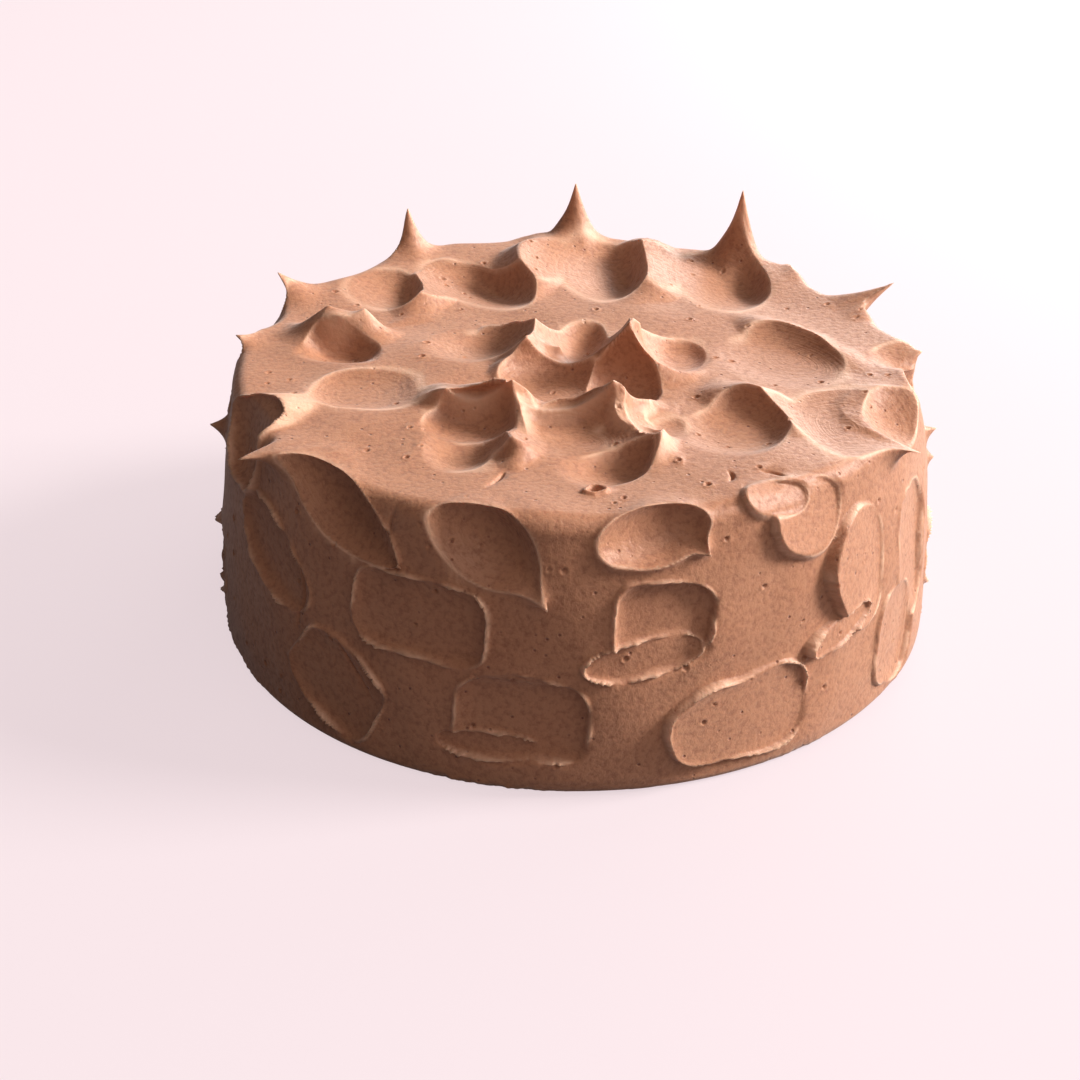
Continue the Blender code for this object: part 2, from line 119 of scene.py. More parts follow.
def profile_rings(gap):
    """The rings of the drum from the foot's centre to the top's, about gap mm apart.

    Radius and height follow the foot's quarter circle, the swelling side and the corner's quarter
    circle, then run flat to the axis. Each ring's outward direction is square to the profile there.
    """
    turn = np.linspace(0, np.pi / 2, CURVE_STEPS)
    foot_r = wall_radius(FOOT_ROUND) - FOOT_ROUND * (1 - np.sin(turn))
    foot_z = FOOT_ROUND * (1 - np.cos(turn))
    side_z = np.linspace(FOOT_ROUND, CAKE_HEIGHT - CORNER_ROUND, SIDE_STEPS)[1:-1]
    corner_r = wall_radius(CAKE_HEIGHT - CORNER_ROUND) - CORNER_ROUND * (1 - np.cos(turn))
    corner_z = CAKE_HEIGHT - CORNER_ROUND * (1 - np.sin(turn))
    r = np.concatenate([foot_r, wall_radius(side_z), corner_r, [0]])
    z = np.concatenate([foot_z, side_z, corner_z, [CAKE_HEIGHT]])
    run = np.r_[0, np.cumsum(np.hypot(np.diff(r), np.diff(z)))]
    even = np.linspace(0, run[-1], int(run[-1] / gap) + 1)[:-1]
    r, z = np.interp(even, run, r), np.interp(even, run, z)
    underside = np.array(UNDERSIDE) * r[0]
    r, z = np.r_[underside, r], np.r_[0 * underside, z]
    dr = np.r_[r[1:], 0] - np.r_[0, r[:-1]]
    dz = np.r_[z[1:], CAKE_HEIGHT] - np.r_[0, z[:-1]]
    return r, z, dz / np.hypot(dr, dz), -dr / np.hypot(dr, dz)


GRID_GAP = 0.45
print("rings of the profile:", len(profile_rings(GRID_GAP)[0]))

# %% [markdown]
# The second half carries the profile round and keeps the points, both as they were spread and as the
# knife has moved them. A mark finds its points by where they were spread, so the order of the marks
# can't tear the grid. Real frosting is never dead flat, so the drum sways by less than a millimetre.
# The frosting also remembers where the knife was drawn over it, and where its lips, rims and tips
# get a painted highlight, a paler colour: the material reads both at the end.

# %% The frosting's points
FLAT_FOOT = 0.01
BEHIND = 30


class Icing:
    """The frosting's points: where they were spread (rest), where the knife has moved them
    (points), how it was drawn over them (stroke), and where lips, rims and tips get a painted
    highlight (edge)."""

    def __init__(self, gap):
        r, z, out_r, out_z = profile_rings(gap)
        self.rings, self.around = len(r), int(2 * np.pi * TOP_RADIUS / gap)
        phi = np.linspace(0, 2 * np.pi, self.around, endpoint=False)
        level = np.ones(self.around)
        self.rest = self.carried_round(r, z, phi, level, (0, 0, 0), (0, 0, CAKE_HEIGHT))
        direction = self.carried_round(out_r, out_z, phi, level, (0, 0, -1), (0, 0, 1))
        self.loose = self.rest[:, 2] > FLAT_FOOT
        sway = 0.9 * waves(self.rest, 70, 3) + 0.35 * waves(self.rest, 28, 4)
        self.points = self.rest + direction * (sway * smooth(self.rest[:, 2] / 6))[:, None]
        self.stroke = np.zeros((len(self.rest), 3))
        self.edge = np.zeros(len(self.rest))

    @staticmethod
    def carried_round(across, upward, phi, level, first, last):
        """A profile (across, upward) turned to every azimuth phi, with one pole point at each end."""
        grid = np.stack([np.outer(across, np.sin(phi)), -np.outer(across, np.cos(phi)),
                         np.outer(upward, level)], -1)
        return np.vstack([grid.reshape(-1, 3), [first], [last]])

    def near(self, centre, normal, reach):
        """The points within reach of centre, none from the far side and none from the flat foot."""
        gap = self.rest - centre
        close = (np.einsum('ij,ij->i', gap, gap) < reach * reach) & self.loose
        if normal is not None:
            close &= gap @ normal > -BEHIND
        return np.nonzero(close)[0]

    def drag(self, near, along, across, share):
        """Remember how the knife was drawn here: mm along and across its way, and how much it shows."""
        fresh = share > 0.01
        self.stroke[near[fresh]] = np.stack([along, across, share], 1)[fresh]

    def note_painted_highlight(self, near, wiped, share):
        """Note a painted highlight, 1 on a lip or a tip, less what this stroke wiped away."""
        self.edge[near] = np.maximum(self.edge[near] * (1 - wiped), np.clip(share, 0, 1))

    def faces(self):
        """Quads between neighbouring rings and a fan of triangles round each pole, turned outwards."""
        ring = np.arange(self.rings - 1)[:, None] * self.around
        j = np.arange(self.around)
        k = (j + 1) % self.around
        quads = np.stack([ring + j, ring + k, ring + self.around + k, ring + self.around + j], -1)
        bottom, last = self.rings * self.around, (self.rings - 1) * self.around
        fan = np.vstack([np.stack([0 * j + bottom, k, j], -1),
                         np.stack([last + j, last + k, 0 * j + bottom + 1], -1)])
        return quads.reshape(-1, 4), fan


icing = Icing(GRID_GAP)
print("points to work on:", len(icing.points))

# %% [markdown]
# ## Where the knife works
#
# The knife works square to the surface, so each mark needs a place: a centre and three directions,
# right, up and out. There are three kinds of place on a cake: the flat top, the rounded corner
# where the top meets the side, and the side itself. An empty for each would do the same by hand, but
# a function can say it in the cake's own terms, an azimuth and a height.

# %% Places for the knife
def knife_place(centre, normal, right):
    """A place: its centre and the directions right, up and out of the surface there."""
    return centre, right, np.cross(normal, right), normal


def on_top(x, y):
    """A place on the flat top: right is +X, up is +Y and out is +Z."""
    return knife_place(np.array([x, y, CAKE_HEIGHT]), np.array([0, 0, 1.0]), np.array([1.0, 0, 0]))


def on_corner(phi, tip, inset, drop):
    """A place near the top corner, its normal tip degrees above the horizontal."""
    t = math.radians(tip)
    centre = outward(phi) * (TOP_RADIUS - inset) + np.array([0, 0, CAKE_HEIGHT - drop])
    normal = outward(phi) * math.cos(t) + np.array([0, 0, math.sin(t)])
    return knife_place(centre, normal, outward(phi + 90))


def on_wall(phi, z):
    """A place on the side, at azimuth phi and height z, its normal level."""
    return knife_place(wall_point(phi, z), outward(phi), outward(phi + 90))


def wall_point(phi, z):
    """The point of the side at azimuth phi and height z."""
    return outward(phi) * wall_radius(z) + np.array([0, 0, z])


def corner_point(phi, z=CAKE_HEIGHT - 1.0, inset=1.5):
    """A point just inside the top corner, where horns are pulled."""
    return outward(phi) * (TOP_RADIUS - inset) + np.array([0, 0, z])


print("the corner's front point, mm:", corner_point(0))

# %% [markdown]
# A stroke goes its own way across its place. Its points are measured along the stroke, across it and
# out of the surface, and the outline of what it leaves is an oval that can be as round as a spoon's
# or as square as a blade's.

# %% Measures of a stroke
TINY = 1e-6


def turned_by(place, turn):
    """The place's right and up directions, turned anticlockwise by turn degrees."""
    centre, right, up, normal = place
    c, s = math.cos(math.radians(turn)), math.sin(math.radians(turn))
    return right * c + up * s, up * c - right * s


def measured(icing, near, place, turn):
    """The near points in mm from the place's centre: along turn, across it and out of the surface."""
    centre, _, _, normal = place
    along, across = turned_by(place, turn)
    rest = icing.rest[near] - centre
    return np.stack([rest @ along, rest @ across, rest @ normal], 1)


def oval(u, v, power):
    """0 in the middle and 1 on the superellipse where |u| ** power + |v| ** power is 1."""
    return (np.abs(u) ** power + np.abs(v) ** power) ** (1 / power) + TINY


def patches(local, size, patchy, seed):
    """A factor about 1, held between 0.1 and 2, that varies by patchy over about size mm."""
    return np.clip(1 + patchy * waves(local, size, seed + 7), 0.1, 2)


print("how far out the corner of a square lies, in a round oval and in a square one:",
      round(oval(1, 1, 2), 2), round(oval(1, 1, 4), 2))

# %% [markdown]
# ## The tools
#
# First the knife brings more frosting. On the real cake it is a dollop, dropped where a swirl is to
# stand. A sculpting brush could raise it, but a formula gives the same dollop on each run.

# %% Heap
def heap(icing, place, turn, size, height, sharp=1.6, seed=1):
    """More frosting laid on: a mound of half-size size, whose height falls as (1 - r) to the power sharp."""
    centre, _, _, normal = place
    along, across = turned_by(place, turn)
    near = icing.near(centre, normal, 1.15 * max(size))
    rest = icing.rest[near] - centre
    far = np.hypot(rest @ along / size[0], rest @ across / size[1])
    far *= 1 + 0.1 * waves(rest, 1.2 * min(size), seed)
    icing.points[near] += np.outer(height * np.clip(1 - far, 0, 1) ** sharp, normal)


print("a 10 mm heap from its middle out, mm:", np.round(10 * (1 - np.arange(4) / 4) ** 1.6, 1))

# %% [markdown]
# Then a swoop takes some of it away. A Boolean could cut a bowl, but with a hard edge and many slivers.
# Here a scoop cuts down to its bowl by taking the lower of two heights, point by point. Where two
# bowls meet they leave a sharp crest with hollow flanks, just as two strokes of a knife do, and
# nothing has to be said about the crest at all.

# %% The shape of a scoop
def circle_through(u, v, skew):
    """0 at the deepest point, (skew, 0), and 1 on the outline: the size of the circle through (u, v).

    The circles shrink from size 1 round (0, 0) to nothing at (skew, 0), so they lie closer together
    on the side of the skew, where the wall is steeper. Their size solves a quadratic equation.
    """
    shifted = u - skew
    onward = shifted * skew
    return (onward + np.sqrt(onward ** 2 + (shifted ** 2 + v ** 2) * (1 - skew ** 2))) / (1 - skew ** 2)


def lower_of(bowl, surface, round_off):
    """The lower of two heights, the edge between them rounded off over round_off mm.

    Also gives the surface's share in it: 0 in the bowl, 1 outside it and between on the edge.
    """
    share = np.clip(0.5 + 0.5 * (bowl - surface) / round_off, 0, 1)
    return bowl + (surface - bowl) * share - round_off * share * (1 - share), share


print("an even bowl and a skewed one, at 1/2 on the skewed side:",
      round(circle_through(0.5, 0, 0), 2), round(circle_through(0.5, 0, 0.4), 2))

# %% [markdown]
# The scoop's rim is what the eye reads. Frosting is pushed up outside it, and the rim gets a painted
# highlight, a paler colour along its crest. Inside, the knife leaves fine lines along its way. Both are
# noted here, while the stroke is known, for the material to use.

# %% Scoop
SCOOP_REACH = 2.2
SCOOP_LINES = 0.7
# how strongly the crest of a scoop's rim is painted as a highlight
RIM_HIGHLIGHT = 0.95
RIM_WIDTH = 0.6


def scoop(icing, place, turn, size, depth, power=2.0, steep=2.0, skew=0.4, crisp=0.5, soft=8.0,
          lip=0.0, lip_out=8.0, rough=0.25, patchy=0.3, seed=1):
    """A swoop of the knife that only takes away: the surface is cut down to a bowl where it is higher.

    The bowl's height is depth * (t ** steep - 1), where t grows from 0 at the deepest point to 1 on
    the outline and on up the walls. skew moves the deepest point towards turn, which steepens the
    wall there. The cut's own edge is rounded by crisp at the turn end and by soft at the other, and
    lip is the frosting pushed up outside it, uneven by the share patchy.
    """
    centre, _, _, normal = place
    half_long, half_wide = size
    near = icing.near(centre, normal, SCOOP_REACH * max(size))
    local = measured(icing, near, place, turn)
    u, v = local[:, 0] / half_long, local[:, 1] / half_wide
    flat_ring, ring = np.hypot(u, v) + TINY, oval(u, v, power)
    wobble = 0.06 * waves(local, 30, seed) + rough / half_wide * waves(local, 9, seed + 1)
    u, v = u * ring / flat_ring * (1 + wobble), v * ring / flat_ring * (1 + wobble)
    t = circle_through(u, v, skew)
    points = icing.points[near]
    height = (points - centre) @ normal
    surface = height
    if lip:
        beyond = (ring - 1) * half_wide
        pushed = lip * np.where(beyond < 0, 1, np.clip(1 - beyond / lip_out, 0, 1) ** 2.2)
        surface = height + pushed * patches(local, 14, patchy, seed)
    bowl = depth * (t ** steep - 1)
    round_off = soft + (crisp - soft) * smooth((u + 0.6) / 1.2)
    cut, share = lower_of(bowl, surface, round_off)
    icing.points[near] = points + np.outer(cut - height, normal)
    icing.drag(near, v * half_wide, t * half_wide, SCOOP_LINES * smooth(1 - 2 * share))
    # painted highlight along the rim, where the bowl meets the surface
    thin = RIM_HIGHLIGHT * np.exp(-((bowl - surface) / RIM_WIDTH) ** 2) * smooth(2 - round_off)
    icing.note_painted_highlight(near, 1 - share, thin)


print("a scoop is felt out to", SCOOP_REACH, "times its half-size, its pale rim is mm:", 2 * RIM_WIDTH)

# %% [markdown]
# On the side the knife is pressed in flat. It leaves a floor with a crisp edge: one end sinks in and
# the other stands proud, because the blade is never quite level. `press` lays such a floor into the
# surface, with a thin lip of pushed-out frosting on its outline. A displacement texture could draw
# the outline, but not swap the surface inside it for another one.

# %% Press
PRESS_LINES = 0.35


def falling(edge, inner, outer):
    """1 on the outline, falling to 0 at inner mm inside it and, more hollowly, at outer mm outside."""
    within = np.clip(1 + edge / inner, 0, 1) ** 1.5
    beyond = np.clip(1 - edge / outer, 0, 1) ** 2.3
    return np.where(edge < 0, within, beyond)


def press(icing, place, turn, size, depth, power=2.2, floor=2.0, taper=0.0, tilt=0.0, follow=0.6,
          lift=0.0, crisp=0.8, soft=0.8, lip=0.8, lip_in=0.9, lip_out=1.2, rough=0.3, patchy=0.4, seed=1):
    """One mark of the palette knife: a hollow of half-size size, its crisp wall towards turn.

    The outline is a superellipse of the given power, narrowed by taper towards turn. Inside it the
    surface becomes a floor: depth deep at the middle, and a plane that rises by tilt at the turn
    end. The floor follows the old surface by the share follow. Frosting pushed out stands on the
    outline as a lip, uneven by the share patchy, and the lip gets a painted highlight.
    """
    centre, _, _, normal = place
    along, across = turned_by(place, turn)
    half_long, half_wide = size
    near = icing.near(centre, normal, 1.3 * math.hypot(half_long, half_wide) + 4 + soft + lip_out)
    local = measured(icing, near, place, turn)
    x, y, w = local.T
    u = x / half_long
    narrow = np.clip(1 - taper * np.clip(u, -1.2, 1.2), 0.12, 3)
    ring = oval(u, y / (half_wide * narrow), power)
    wobble = rough * (waves(local, 12, seed + 50) + 0.4 * waves(local, 4, seed + 90))
    wobble += 0.09 * half_wide * waves(local, 34, seed + 30)
    edge = np.hypot(x, y / narrow) * (1 - 1 / ring) + wobble
    blend = soft + (crisp - soft) * smooth((u + 0.5) / 1.1)
    inside = smooth(0.5 - edge / blend)
    bowl = 1 - np.clip(ring, 0, 1) ** floor
    depth_here = follow * w - depth * bowl + tilt * u + lift
    flat = centre + np.outer(x, along) + np.outer(y, across) + np.outer(depth_here, normal)
    points = icing.points[near]
    points += inside[:, None] * (flat - points)
    crest = falling(edge, lip_in, lip_out) * lip * patches(local, 11, patchy, seed)
    icing.points[near] = points + np.outer(crest, normal)
    icing.drag(near, x, y, PRESS_LINES * smooth(2 * inside - 1))
    # the lip gets a painted highlight, and the floor wipes away those beneath it
    icing.note_painted_highlight(near, inside, (crest / lip) ** 1.6)


print("a lip at 1/2 mm inside, on and 1/2 mm outside its outline:",
      np.round(falling(np.array([-0.5, 0, 0.5]), 0.9, 0.9), 2))

# %% [markdown]
# Lifting the knife off pulls the frosting into a horn. A cone would look stuck on: a real horn rises
# out of a wide concave foot, which a falling power gives. A long one droops, and a high crest curls
# over its own bowl.

# %% Pull and curl
def pull(icing, point, tip, width, power=3.2, curl=(0, 0, 0)):
    """Frosting pulled off the knife: each point moves by tip times (1 - r) to the given power.

    That is a thin horn on a wide foot. curl bends it near its tip, and its tip gets a painted highlight.
    """
    near = icing.near(np.array(point), None, 1.3 * width)
    rest = icing.rest[near] - point
    far = np.linalg.norm(rest, axis=1) / width * (1 + 0.10 * waves(rest, 10, 1))
    rise = np.clip(1 - far, 0, 1) ** power
    icing.points[near] += np.outer(rise, tip) + np.outer(rise ** 2.2, curl)
    # the tip gets a painted highlight
    icing.note_painted_highlight(near, 0, rise ** 3)


def curl(icing, point, radius, shift, full):
    """Bend what stands high near point over by shift: all of it at full mm up, less below."""
    near = icing.near(np.array(point), None, radius)
    rest = icing.rest[near]
    up = np.clip((icing.points[near, 2] - rest[:, 2]) / full, 0, 1.2) ** 1.6
    far = np.linalg.norm(rest - point, axis=1) / radius
    icing.points[near] += np.outer(up * smooth(1.6 * (1 - far)), shift)


print("a 20 mm horn from its tip out, mm:", np.round(20 * (1 - np.arange(4) / 4) ** 3.2, 1))

# %% [markdown]
# Folds are the thin crests where one stroke overlaps another, and cracks are where the frosting tore.
# Both follow a bent line. A curve object would need to be merged with the mesh, so the line is a
# quadratic arc in a place's own plane, and each point asks how far away it is.

# %% Fold
ARC_STEPS = 12


def gap_to_arc(spot, start, middle, end):
    """Each spot's distance from the arc through three points, and how far along the arc it lies."""
    handle = 2 * middle - (start + end) / 2
    gap, along = np.full(len(spot), np.inf), np.zeros(len(spot))
    steps = np.linspace(0, 1, ARC_STEPS + 1)[:, None]
    arc = (1 - steps) ** 2 * start + 2 * steps * (1 - steps) * handle + steps ** 2 * end
    for i in range(ARC_STEPS):
        run = arc[i + 1] - arc[i]
        t = np.clip((spot - arc[i]) @ run / (run @ run), 0, 1)
        here = np.linalg.norm(spot - arc[i] - t[:, None] * run, axis=1)
        closer = here < gap
        gap[closer], along[closer] = here[closer], (i + t[closer]) / ARC_STEPS
    return gap, along


def fold(icing, place, start, middle, end, height, width, lean=0.0):
    """A thin crest, or a crack where height is negative, on an arc through three (right, up) points.

    The height swells from nothing at the ends of the arc to its full value at the middle, and lean
    tips the crest over to one side.
    """
    centre, right, up, normal = place
    start, middle, end = (np.array(p, float) for p in (start, middle, end))
    handle = 2 * middle - (start + end) / 2
    near = icing.near(centre, normal, np.abs([start, handle, end]).max() * 1.5 + 2 * width)
    rest = icing.rest[near] - centre
    gap, along = gap_to_arc(np.stack([rest @ right, rest @ up], 1), start, middle, end)
    swell = np.sin(np.pi * np.clip(along, 0.02, 0.98)) ** 0.6
    crest = height * np.clip(1 - gap / width, 0, 1) ** 1.5 * swell
    across = np.array([-(end - start)[1], (end - start)[0]]) / np.linalg.norm(end - start)
    sideways = right * across[0] + up * across[1]
    icing.points[near] += np.outer(crest, normal + lean * sideways)
    # the crest gets a painted highlight, a crack none
    icing.note_painted_highlight(near, 0, crest / abs(height))


print("tools ready, a fold's arc has", ARC_STEPS, "steps")

# %% [markdown]
# ## The marks
#
# The marks are laid in the order a baker would work: the side first, then the top from the back to
# the front, and last the corner, whose scoops and horns cut across both. Each line below is one touch
# of the knife. The dabs of the side are flat: crisp at the end that stands proud, soft where they
# run out. Two of them carry a tongue, a last bit of frosting dragged over the dab's lower edge.

# %% The dabs of the side
DAB = dict(floor=6, follow=0.85, crisp=1.0, soft=2.2, lip=1.1, lip_in=0.9, lip_out=0.9, patchy=1.2,
           rough=0.3)
TONGUE = {**DAB, 'soft': 6}
THIN = {**DAB, 'lip': 0.3}


def carve_wall(icing):
    """The flat dabs of the side: each floor is tilted, one end sunk and the other standing proud."""
    press(icing, on_wall(-22.8, 47.7), 178, (19.5, 11.5), 1.8, power=4, seed=41, **DAB)
    press(icing, on_wall(-6.8, 22.5), 178, (17.5, 12.5), 1.8, power=4, seed=42, **DAB)
    press(icing, on_wall(-12, 14), 180, (14, 4), 0.3, tilt=0.6, lift=-1.2, seed=43, **TONGUE)
    press(icing, on_wall(13.3, 50.3), 180, (13.5, 11), 1.8, power=3.4, taper=-0.15, tilt=1.2, seed=44, **DAB)
    press(icing, on_wall(10, 40.5), 186, (16, 5), 0.3, tilt=1.7, lift=-0.3, seed=45, **TONGUE)
    press(icing, on_wall(25, 18), 184, (20.5, 12.5), 0.6, power=3, taper=0.15, tilt=1.8, lift=1.0,
          seed=46, **DAB)
    press(icing, on_wall(47.5, 49), 190, (12.5, 18), 0.4, taper=0.1, tilt=2.2, lift=1.7, seed=47, **THIN)
    press(icing, on_wall(43, 34.8), 192, (13, 4), 0.3, tilt=1.2, lift=1.4, seed=52, **DAB)
    press(icing, on_wall(65, 40), 185, (12, 20), 0.8, power=3, tilt=1.0, lift=0.3, seed=53, **THIN)
    press(icing, on_wall(58, 20), 170, (12, 15), 0.8, power=3, tilt=1.2, lift=0.3, seed=48, **THIN)
    press(icing, on_wall(-51.5, 48.5), 150, (19, 10), 2.4, taper=-0.2, seed=49, **DAB)
    press(icing, on_wall(-37.1, 20), 150, (16, 13), 1.5, power=3, tilt=0.8, seed=50, **DAB)
    pull(icing, wall_point(-88, 56), (-6, 0, 1), 9)
    pull(icing, wall_point(-84, 22), (-6, 0, 1), 9)


carve_wall(icing)
print("side marked, its widest point at mm:", round(float(np.hypot(*icing.points[:, :2].T).max()), 1))

# %% [markdown]
# The far side is finished like the near one, but no touch of it has to sit in a set spot. So it is
# drawn at random within the ranges of the near side: two rows of dabs, and leaf-shaped scoops above.

# %% The far side
def carve_back(icing):
    """The far side goes on like the near one: dabs in two rows, and scoops under the corner."""
    rng = np.random.default_rng(5)
    for row, height in enumerate((20, 47)):
        for phi in np.arange(88 + 13 * row, 280, 27):
            size = rng.uniform(14, 20), rng.uniform(10, 13)
            spot = on_wall(phi + rng.uniform(-4, 4), height + rng.uniform(-3, 3))
            press(icing, spot, 180 + rng.uniform(-25, 25), size, rng.uniform(0.8, 1.8),
                  power=rng.uniform(2.6, 4), tilt=rng.uniform(0, 2.2), seed=int(phi) + 60, **DAB)
    leaf = dict(steep=2.2, skew=0.35, crisp=0.3, soft=0.6, lip=2, lip_out=2.2, rough=0.2, power=1.8)
    for phi in (84, 113, 137, 168, 194, 221, 246, 268):
        spot = on_corner(phi + rng.uniform(-3, 3), 20, 0, rng.uniform(9, 11))
        size = rng.uniform(8, 9.5), rng.uniform(13, 16)
        scoop(icing, spot, rng.uniform(40, 65), size, 4.5, seed=int(phi), **leaf)


carve_back(icing)
print("far side marked, share of points with drawn lines:", round(float((icing.stroke[:, 2] > 0).mean()), 2))

# %% [markdown]
# The top is worked most. Frosting is heaped along the line of each swirl and then swooped away, from
# the back to the front, so that each bowl cuts into the one behind it, as in the real cake. Long
# skewed scoops make the dunes at the back.

# %% Heaps and dunes of the top
def heap_top(icing):
    """The dollops, each x, y, turn, half its length and width, and its height."""
    for x, y, turn, half_long, half_wide, height in (
            (18, -5, 0, 21, 19, 25), (-7, 3, 0, 17, 16, 20), (-17, 13, -40, 15, 8, 8),
            (-15, -10, 50, 13, 8, 7), (-73, 15, 0, 17, 11, 9), (-62, 13, 0, 11, 10, 6),
            (-45, 49, 75, 26, 11, 13), (-14, 66, 85, 30, 12, 13), (23, 66, 87, 32, 13, 14),
            (66, 11, -50, 27, 11, 7), (51, -35, -50, 24, 12, 8), (-24, -32, -8, 23, 11, 12),
            (-16, -48, -82, 24, 9, 18), (6, -37, 15, 23, 10, 18), (17, -50, -62, 20, 8, 14)):
        heap(icing, on_top(x, y), turn, (half_long, half_wide), height, sharp=1.5, seed=int(x) + 200)


def scoop_top(icing, rows, **settings):
    """A scoop of the top for each row: x, y, turn, size, depth, power, steep, skew and seed."""
    for x, y, turn, size, depth, power, steep, skew, seed in rows:
        scoop(icing, on_top(x, y), turn, size, depth, power, steep, skew, seed=seed, **settings)


def carve_dunes(icing):
    """The long slopes at the back and on the left: gentle floors that end in a steep wall."""
    scoop_top(icing, (
        (46, 58, 10, (14.5, 27), 6.5, 2, 1.4, 0.7, 11), (8, 66, 5, (13.2, 26), 6.5, 2, 1.4, 0.7, 12),
        (-31, 53, 40, (12.5, 23), 6.5, 2, 1.4, 0.7, 13), (-60, 48, 5, (11, 15), 4.5, 2, 1.4, 0.7, 9),
    ), crisp=0.4, soft=1.5, rough=0.15)
    scoop_top(icing, ((-69, 2, 75, (7.5, 11), 5, 2.6, 2.5, 0.5, 14),), crisp=0.4, soft=4, rough=0.15)


heap_top(icing)
carve_dunes(icing)
print("heaped and swooped, highest crest at mm:", round(float(icing.points[:, 2].max()), 1))

# %% [markdown]
# The bowls are rounder, as the knife was turned on the spot. The two flattest are only skimmed, and
# show as a thin lip round an almost level floor.

# %% The bowls of the top
def carve_bowls(icing):
    """The bowls from the middle to the front edge, each cut into the crest that the last one left."""
    bowl = dict(crisp=0.3, soft=2, rough=0.15)
    scoop_top(icing, (
        (60, -1, 40, (14, 21), 2.2, 2, 3, 0.4, 15), (31, 1, 80, (12, 8), 3, 2, 2.5, 0.2, 16),
        (1, 9, 80, (16, 8), 5, 2, 2, 0.2, 17), (43, -46, 42, (14, 15), 3.2, 2, 3, 0.4, 19)), **bowl)
    scoop_top(icing, (
        (-59, -25, 180, (13.5, 12), 1.8, 2.5, 3, 0.2, 18), (75, -43, 195, (14, 20), 1.5, 2.5, 3, 0.2, 20),
    ), crisp=0.3, soft=1, lip=0.7, lip_out=2, rough=0.15)
    scoop_top(icing, (
        (-29, 8, 10, (11, 12), 3, 2, 2, 0.3, 25), (-6, -21, 75, (10.5, 12.8), 3.5, 2, 3, 0.1, 24),
        (13, -24, 68, (9.3, 11.6), 4.5, 2, 3.2, 0.2, 23), (26, -45, 70, (8, 7), 2, 2, 2.2, 0.1, 28),
        (-29, -46, 82, (9.5, 12), 4, 2.2, 2.8, 0.15, 21), (-30, -60, 0, (9.5, 13), 3.5, 2, 2.4, 0.15, 26),
        (1, -53, 65, (10, 13), 2.5, 2, 1.9, 0.15, 22), (9, -68, 30, (13, 11), 5, 2, 2.4, 0.35, 27)), **bowl)


carve_bowls(icing)
print("bowls cut, highest crest at mm:", round(float(icing.points[:, 2].max()), 1))

# %% [markdown]
# Soft frosting doesn't stand like clay. The four highest crests sink forward over their bowls and end
# in short tips, and thin folds mark where a stroke ran over the one before.

# %% Crests that curl, and folds
def bend_crests(icing):
    """The highest crests bent forward, each with the tip that the knife pulled from it."""
    for x, y, radius, shift, full in ((17, -6, 18, (0, -4, 0), 13), (-8, 1, 18, (0, -4, 0), 12),
                                      (-24, -31, 20, (1, -5, -1), 8), (8, -37, 22, (1, -5, -1), 9)):
        curl(icing, (x, y, CAKE_HEIGHT), radius, shift, full)
    for x, y, tip, width, power in ((17, -6, (1.5, -2, 5), 9, 2.4), (-6, 1, (2, -2, 4), 9, 2.4),
                                    (9, -38, (1, -2, 6), 11, 2.2), (-18, -36, (1, -2, 4), 9, 2.2)):
        pull(icing, (x, y, CAKE_HEIGHT), tip, width, power=power)


bend_crests(icing)
for start, middle, end, height, lean in (
        ((-41, -32), (-28, -36), (-17, -35), 3, -0.5), ((-18, -34), (-14, -43), (-12, -54), 2.5, -0.3),
        ((-15, -42), (0, -41), (11, -38), 2.5, -0.5), ((11, -38), (12, -46), (17, -52), 2, -0.3),
        ((18, -46), (25, -56), (20, -70), 2.5, -0.5), ((-76, 12), (-68, 11), (-58, 14), 2.5, -0.5)):
    fold(icing, on_top(0, 0), start, middle, end, height, 4, lean=lean)
print("top marked, highest crest at mm:", round(float(icing.points[:, 2].max()), 1))

# %% [markdown]
# The corner gives the cake its outline. Shallow bites run along it between the horns at the back, and
# in front three leaf-shaped scoops hang over it, their rims drawn out to points.

